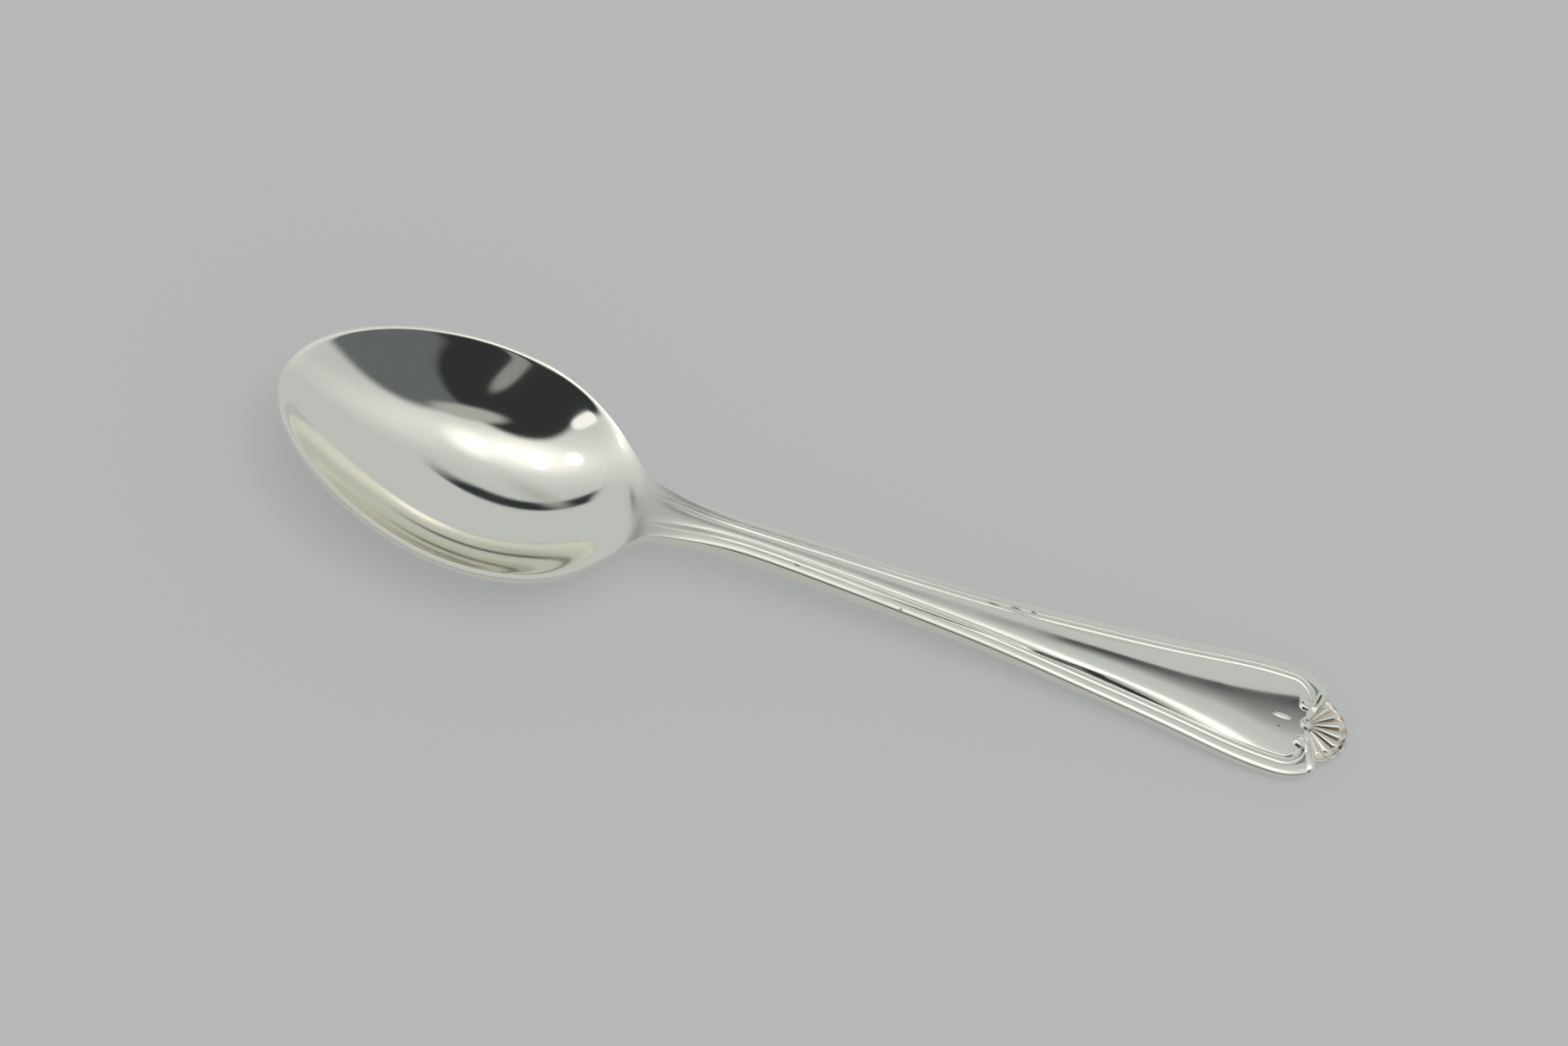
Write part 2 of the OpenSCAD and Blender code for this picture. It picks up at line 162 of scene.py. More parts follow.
def add(
    tree: bpy.types.NodeTree, kind: str, inputs: dict | None = None, **settings: object
) -> bpy.types.Node:
    """Add a node to a tree with its settings, values and links.

    Args:
        tree: The node tree.
        kind: Blender's name for the node's type.
        inputs: By input name or number, a value to set or an output to link from.
        settings: The node's own settings.

    Returns:
        The new node.
    """
    node = tree.nodes.new(kind)
    for name, value in settings.items():
        setattr(node, name, value)
    for key, value in (inputs or {}).items():
        feed(tree, node.inputs[key], value)
    return node


def work_out(
    tree: bpy.types.NodeTree, known: dict[str, bpy.types.NodeSocket], steps: tuple[tuple, ...]
) -> bpy.types.NodeSocket:
    """Add a run of nodes, each of which may read those before it.

    Args:
        tree: The node tree.
        known: Outputs by name, to which each step adds its own.
        steps: For each node its name in known, its type, its main option, and its inputs in
            order, where a name stands for a known output.

    Returns:
        The last node's output.
    """
    for name, kind, option, *values in steps:
        node = add(tree, kind, **({MAIN_OPTION[kind]: option} if option else {}))
        shown = [socket for socket in node.inputs if socket.enabled]
        for socket, value in zip(shown, values):
            feed(tree, socket, known[value] if isinstance(value, str) else value)
        known[name] = next(socket for socket in node.outputs if socket.enabled)
    return known[name]


def hump_steps(name: str, off: str, half: str) -> tuple[tuple, ...]:
    """Give the steps to a round hump of height 1.

    Args:
        name: The hump's name among the known outputs.
        off: Name of the distance from the hump's middle.
        half: Name of half its width.

    Returns:
        The steps, as work_out takes them.
    """
    share, square, drop = (f"{name}_{end}" for end in ("share", "square", "drop"))
    return (
        (share, MATH, "DIVIDE", off, half),
        (square, MATH, "POWER", share, 2.0),
        (drop, MATH, "SUBTRACT", 1.0, square),
        (name, MATH, "MAXIMUM", drop, 0.0),
    )


def die_tree(
    name: str, sizes: dict[str, float], fields: tuple[str, ...], steps: tuple[tuple, ...],
    mark: str, finish: bpy.types.Material,
) -> bpy.types.NodeTree:
    """Build a node tree that raises a surface by a height that it works out.

    Args:
        name: The tree's name.
        sizes: The tree's named inputs. A whole number gives an input for whole numbers.
        fields: Names of the fields that the surface carries.
        steps: The steps to the output "height" and to the mark, as work_out takes them.
        mark: Name of the output that the surface keeps as a field, for the finish.
        finish: The material that the tree sets.

    Returns:
        The tree.
    """
    tree = bpy.data.node_groups.new(name, "GeometryNodeTree")
    kinds = {"Geometry": "Geometry"}
    kinds |= {size: "Int" if isinstance(value, int) else "Float" for size, value in sizes.items()}
    for label, kind in kinds.items():
        tree.interface.new_socket(label, in_out="INPUT", socket_type="NodeSocket" + kind)
    tree.interface.new_socket("Geometry", in_out="OUTPUT", socket_type="NodeSocketGeometry")
    given = add(tree, "NodeGroupInput").outputs
    known = {label: given[label] for label in kinds}
    for field in fields:
        known[field] = add(tree, "GeometryNodeInputNamedAttribute", {"Name": field}).outputs[0]
    work_out(tree, known, steps)
    move = add(tree, "ShaderNodeCombineXYZ", {"Z": known["height"]}).outputs[0]
    shape = known["Geometry"]
    for kind, inputs, settings in (
        ("SetPosition", {"Offset": move}, {}),
        ("StoreNamedAttribute", {"Name": mark, "Value": known[mark]},
         {"data_type": "FLOAT", "domain": "POINT"}),
        ("RealizeInstances", {}, {}),
        ("SetMaterial", {"Material": finish}, {}),
    ):
        inputs = {"Geometry": shape} | inputs
        shape = add(tree, "GeometryNode" + kind, inputs, **settings).outputs[0]
    add(tree, "NodeGroupOutput", {"Geometry": shape})
    return tree


def carry(mesh: bpy.types.Mesh, name: str, values: Values) -> None:
    """Let the mesh's points carry a field of one number each."""
    field = mesh.attributes.new(name, "FLOAT", "POINT")
    field.data.foreach_set("value", values.ravel().astype(np.float32))


def read(
    items: bpy.types.bpy_prop_collection, name: str, width: int = 1, kind: type = np.float32
) -> Values:
    """Read a number or a vector from every item of a mesh's data.

    Args:
        items: The items, such as vertices.
        name: What to read.
        width: Numbers for each item.
        kind: The type of number.

    Returns:
        All numbers in one line.
    """
    values = np.empty(len(items) * width, kind)
    items.foreach_get(name, values)
    return values


class Region(Enum):
    """The three regions of the blank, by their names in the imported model."""

    BOWL = "bowl"
    STEM = "stem"
    SHELL_END = "shell_end"


@dataclass(frozen=True)
class Blank:
    """The struck blank: its outline from above, its heights on the table and its metal.

    Sizes are in millimetres. Stations run along the axis from the bowl's tip.
    """

    length: float = 138.0
    tip_height: float = 13.4
    rim_height: float = 8.0
    arch_height: float = 8.5
    end_height: float = 1.15
    height_shares: tuple[tuple[float, float, float], ...] = (
        (1, 0, 0), (0.14, 0.92, 0), (0, 1, 0), (0, 0, 1), (0, 0, 0.71), (0, 0, 0.475), (0, 0, 0.27),
    )
    bowl_length: float = 45.6
    bowl_width: float = 30.2
    lean_share: float = 0.238
    fill_share: float = -0.026
    oval_past: float = 1.3
    oval_steps: int = 100
    handle_width: float = 14.8
    width_shares: tuple[float, ...] = (
        0.63, 0.28, 0.338, 0.386, 0.455, 0.64, 0.806, 1.104, 0.778,
    )
    stem_from_share: float = 0.51
    stem_full_share: float = 0.81
    spread_start_share: float = 0.91
    bowl_end_share: float = 1.15
    melt_share: float = 0.69
    notch_back: float = 3.4
    shoulder_length: float = 5.6
    rim_thick: float = 0.95
    stem_thick: float = 2.1
    end_thick: float = 1.15
    stem_belly: float = 0.5
    end_belly: float = 0.1

    @property
    def half_handle(self) -> float:
        """Half the width at the shoulders."""
        return self.handle_width / 2

    @property
    def notch_at(self) -> float:
        """Station of the notches beside the shell."""
        return self.length - self.notch_back

    @property
    def shoulder_start(self) -> float:
        """Station where the outline starts to turn in."""
        return self.notch_at - self.shoulder_length

    @property
    def stem_end(self) -> float:
        """Station of the cut between stem and shell end."""
        return self.shoulder_start - self.half_handle

    @property
    def bowl_end(self) -> float:
        """Station of the cut between bowl and stem."""
        return self.bowl_length * self.bowl_end_share

    @property
    def spread_start(self) -> float:
        """Station of the first of the stem's widths."""
        return self.bowl_length * self.spread_start_share

    def edge(self, s: Values) -> Values:
        """Height of the outer edge above the table."""
        heights = (self.tip_height, self.rim_height, self.arch_height)
        controls = [float(np.dot(share, heights)) for share in self.height_shares]
        controls = np.array([*controls, self.end_height])
        return spline(controls, s / self.length * (len(controls) - 1))

    def oval2(self, s: Values) -> Values:
        """Squared half width of the bowl's oval, below zero past its ends."""
        def raw(t: Values) -> Values:
            """Fullness of the oval from end to end."""
            return (1 - t * t) * (1 + self.lean_share * t + self.fill_share * t * t)
        peak = raw(np.arange(self.oval_steps + 1) / self.oval_steps).max()
        place = np.minimum(2 * s / self.bowl_length - 1, self.oval_past)
        return (self.bowl_width / 2) ** 2 * raw(place) / peak

    def stem2(self, s: Values) -> Values:
        """Squared half width of the stem, which takes over from the oval."""
        start, last = self.spread_start, len(self.width_shares) - 2
        place = (np.maximum(s, start) - start) / (self.shoulder_start - start) * last
        taken = ease((s / self.bowl_length - self.stem_from_share)
                     / (self.stem_full_share - self.stem_from_share))
        return (self.half_handle * spline(np.array(self.width_shares), place) * taken) ** 2

    def half(self, s: Values) -> Values:
        """Half width of the outline from the bowl's tip to the shoulders."""
        oval, stem = self.oval2(s), self.stem2(s)
        melted = soft_max(oval, stem, (self.bowl_width / 2 * self.melt_share) ** 2)
        plain = s < self.bowl_length * self.stem_from_share
        return np.sqrt(np.where(plain, np.maximum(oval, 0), melted))

    def rolled(self, s: Values, start_share: float, sizes: tuple[float, ...]) -> Values:
        """Let a size of the metal change smoothly from the bowl to the shoulders.

        Args:
            s: The stations.
            start_share: Where the change starts, as a share of the bowl's length.
            sizes: The size there, at the bowl's end and at the shoulders.

        Returns:
            The size at each station.
        """
        start, end = self.bowl_length * start_share, self.bowl_end
        near = mix(sizes[0], sizes[1], ease((s - start) / (end - start)))
        far = mix(sizes[1], sizes[2], ease((s - end) / (self.shoulder_start - end)))
        return np.where(s < end, near, far)

    def thickness(self, s: Values) -> Values:
        """Metal at the outer edge."""
        sizes = (self.rim_thick, self.stem_thick, self.end_thick)
        return self.rolled(s, self.stem_from_share, sizes)

    def belly(self, s: Values) -> Values:
        """Extra metal under the middle."""
        return self.rolled(s, self.stem_full_share, (0.0, self.stem_belly, self.end_belly))


@dataclass(frozen=True)
class BowlDie:
    """The die that sinks the bowl: the hollow from above and the round back from below."""

    blank: Blank
    rim_land: float = 0.6
    wall: float = 1.0
    full_share: float = 0.3
    press: float = 0.1
    deep_share: float = 0.62
    rim_soft: float = 0.035
    heel_soft: float = 0.16
    under_soft: float = 0.6
    soft_from: float = 0.6
    soft_over: float = 0.35

    @property
    def depth(self) -> float:
        """Depth of the hollow below the edge at its deepest."""
        deepest = np.array([self.blank.bowl_length * self.deep_share])
        return float(self.blank.edge(deepest)[0]) - self.wall + self.press

    def softness(self, s: Values) -> Values:
        """Roundness of the hollow's edge, small at the rim and large at the heel."""
        over = ease((s / self.blank.bowl_length - self.soft_from) / self.soft_over)
        return mix(self.rim_soft, self.heel_soft, over)

    def fullness(self, value: Values) -> Values:
        """Section of the hollow from its edge to its middle."""
        return value * (1 + self.full_share * (1 - value))

    def hollow(self, s: Values, y: Values) -> Values:
        """How far the hollow lies below the outer edge."""
        oval = self.blank.oval2(s)
        inner = np.where(
            oval > 0, np.maximum(np.sqrt(np.maximum(oval, 0)) - self.rim_land, 0) ** 2, oval
        )
        half = self.blank.bowl_width / 2 - self.rim_land
        return self.depth * self.fullness(soft((inner - y * y) / half ** 2, self.softness(s)))

    def under(self, s: Values, y: Values) -> Values:
        """How far the bowl's back lies below the edge's own underside."""
        half = self.blank.bowl_width / 2
        round_off = self.softness(s) * self.under_soft
        share = self.fullness(soft((self.blank.oval2(s) - y * y) / half ** 2, round_off))
        return (self.depth + self.wall - self.blank.rim_thick) * share


@dataclass(frozen=True)
class ThreadBorder:
    """The border of the handle: an outer band, a thread between two grooves and the panel."""

    blank: Blank
    in_narrow: float = 1.38
    in_wide: float = 1.75
    thread_width: float = 0.44
    groove_width: float = 0.26
    groove_depth: float = 0.034
    groove_round: float = 1.5
    thread_rise: float = 0.044
    band_rise: float = 0.28
    band_square: float = 3.5
    band_tilt_share: float = 0.32
    melt_share: float = 0.25
    panel_rise: float = 0.55
    panel_rise_share: float = 0.175
    panel_full_share: float = 0.65
    brink_rise_share: float = 0.055
    brink_share: float = 0.33
    brink_from: float = 2.7
    brink_until: float = 4.9
    panel_roll: float = 1.4
    panel_lead: float = 12.0
    panel_end_share: float = 0.6
    panel_flat_share: float = 0.3
    gap_half: float = 2.5
    gap_soft: float = 0.86
    narrow_share: float = 0.31
    hub_back: float = 5.6
    turn_past: float = 0.4
    turn_round: float = 3.05
    fade_full_share: float = 1.3
    weight_power: int = 3

    @property
    def reach(self) -> float:
        """From the thread's middle to the outside of a groove."""
        return self.thread_width / 2 + self.groove_width

    @property
    def turn_end(self) -> float:
        """Station where the thread's turn ends."""
        return self.blank.length - self.hub_back + self.turn_past

    def fade(self, s: Values) -> Values:
        """How far the border has risen out of the plain heel, from 0 to 1."""
        return ease((s / self.blank.bowl_length - 1) / (self.fade_full_share - 1))

    def along(self, s: Values) -> Values:
        """How wide the handle is, from 0 at its narrowest to 1 at the shoulders."""
        share = self.blank.half(s) / self.blank.half_handle
        return clamp((share - self.narrow_share) / (1 - self.narrow_share))

    def inset(self, s: Values) -> Values:
        """Distance of the thread's middle from the edge."""
        near = mix(self.in_narrow, self.in_wide, self.along(s))
        return np.where(s < self.blank.shoulder_start, near, self.in_wide)

    def offset(self, s: Values, y: Values) -> Values:
        """Signed distance from the thread's middle line, positive towards the edge."""
        straight = np.abs(y) - (self.blank.half(s) - self.inset(s))
        fixed = self.blank.half_handle - self.in_wide
        shift = np.where(
            s < self.blank.shoulder_start, self.blank.half(s) - self.inset(s) - fixed, 0.0
        )
        a = s - (self.turn_end - self.turn_round)
        b = np.abs(y) - (fixed - self.turn_round) - shift
        turned = np.hypot(np.maximum(a, 0), np.maximum(b, 0)) + np.minimum(np.maximum(a, b), 0)
        return np.where(s < self.blank.stem_end, straight, turned - self.turn_round)

    def band(self, s: Values, d: Values) -> Values:
        """Height of the outer band at a distance from the edge."""
        share = clamp(d / (self.inset(s) - self.reach))
        rounded = 1 - (1 - share) ** self.band_square
        return self.band_rise * mix(rounded, share, self.band_tilt_share)

    def beside_gap(self, y: Values) -> Values:
        """From 0 in the gap between the thread's two ends to 1 beside it."""
        return ease((np.abs(y) - self.gap_half) / self.gap_soft + 1)

    def crown(self, s: Values, y: Values, v: Values) -> Values:
        """Height of the panel's crown above the band."""
        held = np.minimum(s, self.blank.shoulder_start)
        half_panel = self.blank.half(held) - self.inset(s) - self.reach
        before = ease((self.turn_end - self.reach - s) / self.panel_lead)
        past = 2 * self.reach * (1 - self.beside_gap(y)) - self.reach
        slim = self.panel_rise_share * half_panel
        rise = -soft_max(-self.panel_rise, -slim, self.panel_rise * self.melt_share)
        rise = rise * mix(self.panel_end_share, 1.0, before)
        end = round_up((self.turn_end + past - s) / self.panel_roll)
        roll = np.minimum(self.panel_roll, half_panel)
        corner = 2 * rise * round_up((past - v) / roll)
        flat = self.panel_flat_share * (1 - before)
        out2 = (y / half_panel) ** 2
        full = clamp(1 - out2) * (1 + self.panel_full_share * out2)
        wide = (half_panel - self.brink_from) / (self.brink_until - self.brink_from)
        brink = self.brink_rise_share * half_panel * ease(1 - wide)
        turned = round_up((past - v) / (self.brink_share * half_panel))
        across = (rise * mix(full, 1.0, flat) + brink * turned) * end
        melted = -soft_max(-across, -corner, self.band_rise * self.melt_share)
        return np.where(v > past, 0.0, melted)

    def tree(self, finish: bpy.types.Material) -> bpy.types.NodeTree:
        """Build the node tree that strikes the thread and its two grooves.

        Args:
            finish: The material that the tree sets.

        Returns:
            The tree, whose inputs are the sizes of the thread and of the grooves.
        """
        steps = (
            ("half_thread", MATH, "DIVIDE", "Thread Width", 2.0),
            ("half_groove", MATH, "DIVIDE", "Groove Width", 2.0),
            ("away", MATH, "ABSOLUTE", "thread_offset"),
            ("apart", MATH, "ADD", "half_thread", "half_groove"),
            ("from_groove", MATH, "SUBTRACT", "away", "apart"),
            *hump_steps("ridge", "thread_offset", "half_thread"),
            *hump_steps("dip", "from_groove", "half_groove"),
            ("raised", MATH, "MULTIPLY", "ridge", "Thread Rise"),
            ("rounded", MATH, "POWER", "dip", self.groove_round),
            ("sunk", MATH, "MULTIPLY", "rounded", "Groove Depth"),
            ("relief", MATH, "SUBTRACT", "raised", "sunk"),
            ("height", MATH, "MULTIPLY", "relief", "thread_weight"),
            ("groove", MATH, "MULTIPLY", "rounded", "thread_weight"),
        )
        fields = ("thread_offset", "thread_weight")
        return die_tree("thread_lines", self.sizes(), fields, steps, "groove", finish)

    def sizes(self) -> dict[str, float]:
        """The tree's inputs, in metres."""
        return {
            "Thread Width": self.thread_width * MM,
            "Groove Width": self.groove_width * MM,
            "Groove Depth": self.groove_depth * MM,
            "Thread Rise": self.thread_rise * MM,
        }


@dataclass(frozen=True)
class ShellTerminal:
    """The shell at the handle's tip with its hub, two volutes, their arms and the pip."""

    blank: Blank
    border: ThreadBorder
    reach: float = 5.6
    notch_half: float = 4.4
    notch_angle: float = 55.0
    flutes: int = 7
    flute_rise: float = 0.36
    root_share: float = 0.3
    scallop_depth: float = 0.1
    lip_rise: float = 0.16
    lip_width: float = 0.9
    boss_rise: float = 0.36
    hub_radius: float = 0.85
    hub_rise_share: float = 0.8
    hub_bare_share: float = 0.6
    hub_ring_share: float = 0.66
    hub_core_share: float = 0.45
    hub_open: float = 45.0
    hub_open_soft: float = 40.0
    hub_soft: float = 0.5
    volute_radius: float = 0.86
    volute_off: float = 2.5
    volute_back: float = 0.5
    volute_flat: float = 1.5
    volute_brow: float = 0.75
    arm_half: float = 0.6
    arm_turn: float = 9.0
    arm_from: float = 1.9
    arm_soft: float = 0.8
    arm_rise_share: float = 0.7
    pip_rise: float = 0.13
    pip_length: float = 2.4
    pip_width: float = 0.32
    pip_gap: float = 3.3
    fan_soft: float = 6.0
    lead: float = 2.0

    @property
    def hub_at(self) -> float:
        """Station of the hub."""
        return self.blank.length - self.reach

    @property
    def fan(self) -> float:
        """Half the angle over which the flutes fan out, in degrees."""
        return math.degrees(math.atan2(self.notch_half, self.blank.notch_at - self.hub_at))

    def hub_distance(self, s: Values, y: Values) -> Values:
        """Distance from the hub."""
        return np.hypot(s - self.hub_at, y)

    def hub_angle(self, s: Values, y: Values) -> Values:
        """Angle off the axis seen from the hub, in degrees."""
        return np.degrees(np.arctan2(np.abs(y), s - self.hub_at))

    def flute(self, angle: Values) -> Values:
        """Section of the flutes: 1 on a flute's back, 0 in the valley beside it."""
        return np.abs(np.cos(np.radians(angle / self.fan * 90 * self.flutes)))

    def zone(self, s: Values, y: Values) -> Values:
        """How far a place belongs to the shell, from 0 to 1."""
        turn = ease((self.fan - self.hub_angle(s, y)) / self.fan_soft + 0.5)
        bare = self.hub_radius * self.hub_bare_share
        return turn * ease((self.hub_distance(s, y) - bare) / self.hub_soft)

    def edge_reach(self, angle: Values) -> Values:
        """Reach of the scalloped edge from the hub, over angles in degrees."""
        turn = math.radians(self.notch_angle)
        half = self.notch_half / math.sin(turn)
        deep = self.blank.notch_back / (1 - math.cos(turn))
        back = self.reach - deep
        a = np.radians(angle)
        p = (np.cos(a) / deep) ** 2 + (np.sin(a) / half) ** 2
        q = back * np.cos(a) / deep ** 2
        oval = (q + np.sqrt(q * q - p * (back * back / deep ** 2 - 1))) / p
        return oval - self.scallop_depth * (1 - self.flute(angle))

    def bosses(self, s: Values, y: Values) -> Values:
        """Height of the two volutes, the hub and the pip."""
        volute = np.hypot(s - self.hub_at + self.volute_back, np.abs(y) - self.volute_off)
        hub = self.hub_distance(s, y)
        ring = ease((self.hub_angle(s, y) - self.hub_open) / self.hub_open_soft) * bump(
            (hub / self.hub_radius - self.hub_ring_share) / (1 - self.hub_ring_share)
        )
        core = self.hub_core_share * bump(hub / self.hub_radius / self.hub_ring_share)
        pip = np.hypot(
            2 * (s - self.hub_at + self.pip_gap) / self.pip_length, 2 * y / self.pip_width
        )
        disc = bump((volute / self.volute_radius) ** self.volute_flat) ** self.volute_brow
        return (
            self.boss_rise * disc
            + self.boss_rise * self.hub_rise_share * np.maximum(ring, core)
            + self.pip_rise * bump(pip)
        )

    def arm(self, s: Values, y: Values) -> Values:
        """Height of the arms that run from the volutes to the notches."""
        turn = math.radians(self.fan + self.arm_turn)
        off = (s - self.hub_at) * math.sin(turn) - np.abs(y) * math.cos(turn)
        far = ease((self.hub_distance(s, y) - self.arm_from) / self.arm_soft)
        rise = self.boss_rise * self.arm_rise_share * bump(off / self.arm_half) * far
        return np.where(s < self.hub_at - self.volute_back, 0.0, rise)

    def tree(self, finish: bpy.types.Material) -> bpy.types.NodeTree:
        """Build the node tree that strikes the shell's flutes and the lip along its edge.

        Args:
            finish: The material that the tree sets.

        Returns:
            The tree, whose inputs are the number and the sizes of the flutes and of the lip.
        """
        steps = (
            ("turn", MATH, "DIVIDE", "hub_angle", "Fan Angle"),
            ("quarter", MATH, "MULTIPLY", "Flutes", math.pi / 2),
            ("phase", MATH, "MULTIPLY", "turn", "quarter"),
            ("wave", MATH, "COSINE", "phase"),
            ("back", MATH, "ABSOLUTE", "wave"),
            ("out", MATH, "DIVIDE", "hub_distance", "Shell Reach"),
            ("grown", RANGE, "LINEAR", "out", 0.0, 1.0, "Root Share", 1.0),
            ("tall", MATH, "MULTIPLY", "grown", "Flute Rise"),
            ("ridge", MATH, "MULTIPLY", "tall", "back"),
            ("lip_at", MATH, "DIVIDE", "Lip Width", 3.0),
            ("half_lip", MATH, "DIVIDE", "Lip Width", 2.0),
            ("past_lip", MATH, "MULTIPLY", "half_lip", 3.0),
            ("inland", RANGE, "SMOOTHSTEP", "edge_distance", "half_lip", "past_lip"),
            ("fluted", MATH, "MULTIPLY", "ridge", "inland"),
            ("from_lip", MATH, "SUBTRACT", "edge_distance", "lip_at"),
            *hump_steps("lip", "from_lip", "half_lip"),
            ("lipped", MATH, "MULTIPLY_ADD", "lip", "Lip Rise", "fluted"),
            ("height", MATH, "MULTIPLY", "lipped", "shell_zone"),
            ("beside", MATH, "SUBTRACT", 1.0, "back"),
            ("valley", MATH, "MULTIPLY", "beside", "shell_zone"),
        )
        fields = ("hub_angle", "hub_distance", "shell_zone", "edge_distance")
        return die_tree("shell_flutes", self.sizes(), fields, steps, "valley", finish)

    def sizes(self) -> dict[str, float]:
        """The tree's inputs, in metres and radians."""
        return {
            "Flutes": self.flutes,
            "Fan Angle": math.radians(self.fan),
            "Flute Rise": self.flute_rise * MM,
            "Root Share": self.root_share,
            "Shell Reach": self.reach * MM,
            "Lip Rise": self.lip_rise * MM,
            "Lip Width": self.lip_width * MM,
        }


@dataclass(frozen=True)
class Rows:
    """Rows across the blank, each from a point of the outline to a point on the axis."""

    outline: Values
    middle: Values

    @classmethod
    def run(cls, s: Values, y: Values, middle: Values) -> "Rows":
        """Give rows from places on the outline to stations on the axis."""
        return cls(np.stack([s, y], -1), np.stack([middle, np.zeros_like(middle)], -1))

    def join(self, other: "Rows") -> "Rows":
        """Put another run of rows behind this one."""
        return Rows(
            np.concatenate([self.outline, other.outline]),
            np.concatenate([self.middle, other.middle]),
        )

    def at(self, share: Values) -> tuple[Values, ...]:
        """Stations and distances from the axis at a share of each row, 1 at the outline."""
        return tuple(
            mix(self.middle[:, k:k + 1], self.outline[:, k:k + 1], share) for k in (0, 1)
        )


def square_rows(blank: Blank, stations: Values) -> Rows:
    """Give rows square to the axis at some stations of the bowl or stem."""
    return Rows.run(stations, blank.half(stations), stations)


@dataclass(frozen=True)
class Bowl:
    """The bowl with its heel, up to the cut behind the neck."""

    blank: Blank
    tip_rows: int = 44
    body_rows: int = 150
    tip_share: float = 0.1
    region: Region = Region.BOWL

    def rows(self) -> Rows:
        """Rows that crowd to the tip."""
        tip = self.blank.bowl_length * self.tip_share
        near = tip * (np.arange(self.tip_rows) / self.tip_rows) ** 2
        far = np.linspace(tip, self.blank.bowl_end, self.body_rows + 1)
        return square_rows(self.blank, np.concatenate([near, far]))


@dataclass(frozen=True)
class Stem:
    """The stem from the neck to the start of the shoulders."""

    blank: Blank
    body_rows: int = 230
    region: Region = Region.STEM

    def rows(self) -> Rows:
        """Rows at an even pitch, the first of which is the bowl's last."""
        stations = np.linspace(self.blank.bowl_end, self.blank.stem_end, self.body_rows + 1)
        return square_rows(self.blank, stations[1:])


@dataclass(frozen=True)
class ShellEnd:
    """The handle's end: shoulders, notches and shell, whose rows fan out from the axis."""

    blank: Blank
    shell: ShellTerminal
    side_rows: int = 36
    shoulder_rows: int = 76
    shell_rows: int = 105
    spine_back: float = 1.1
    region: Region = Region.SHELL_END

    def rows(self) -> Rows:
        """Rows along the sides, round the shoulders and over the shell."""
        blank, shell = self.blank, self.shell
        spine_turn = blank.shoulder_start - self.spine_back
        spine_hub = shell.hub_at - shell.hub_radius / 2
        t = np.arange(1, self.side_rows) / self.side_rows
        s = mix(blank.stem_end, blank.shoulder_start, t)
        side = Rows.run(s, blank.half(s), mix(blank.stem_end, spine_turn, t))
        t = np.arange(self.shoulder_rows) / self.shoulder_rows
        turn = t * math.pi / 2
        y = shell.notch_half + (blank.half_handle - shell.notch_half) * np.cos(turn)
        s = blank.shoulder_start + blank.shoulder_length * np.sin(turn)
        shoulder = Rows.run(s, y, mix(spine_turn, spine_hub, t))
        t = np.arange(self.shell_rows + 1) / self.shell_rows
        angle = shell.fan * (1 - t)
        far, turn = shell.edge_reach(angle), np.radians(angle)
        fan = Rows.run(
            shell.hub_at + far * np.cos(turn), far * np.sin(turn), mix(spine_hub, shell.hub_at, t)
        )
        return side.join(shoulder).join(fan)


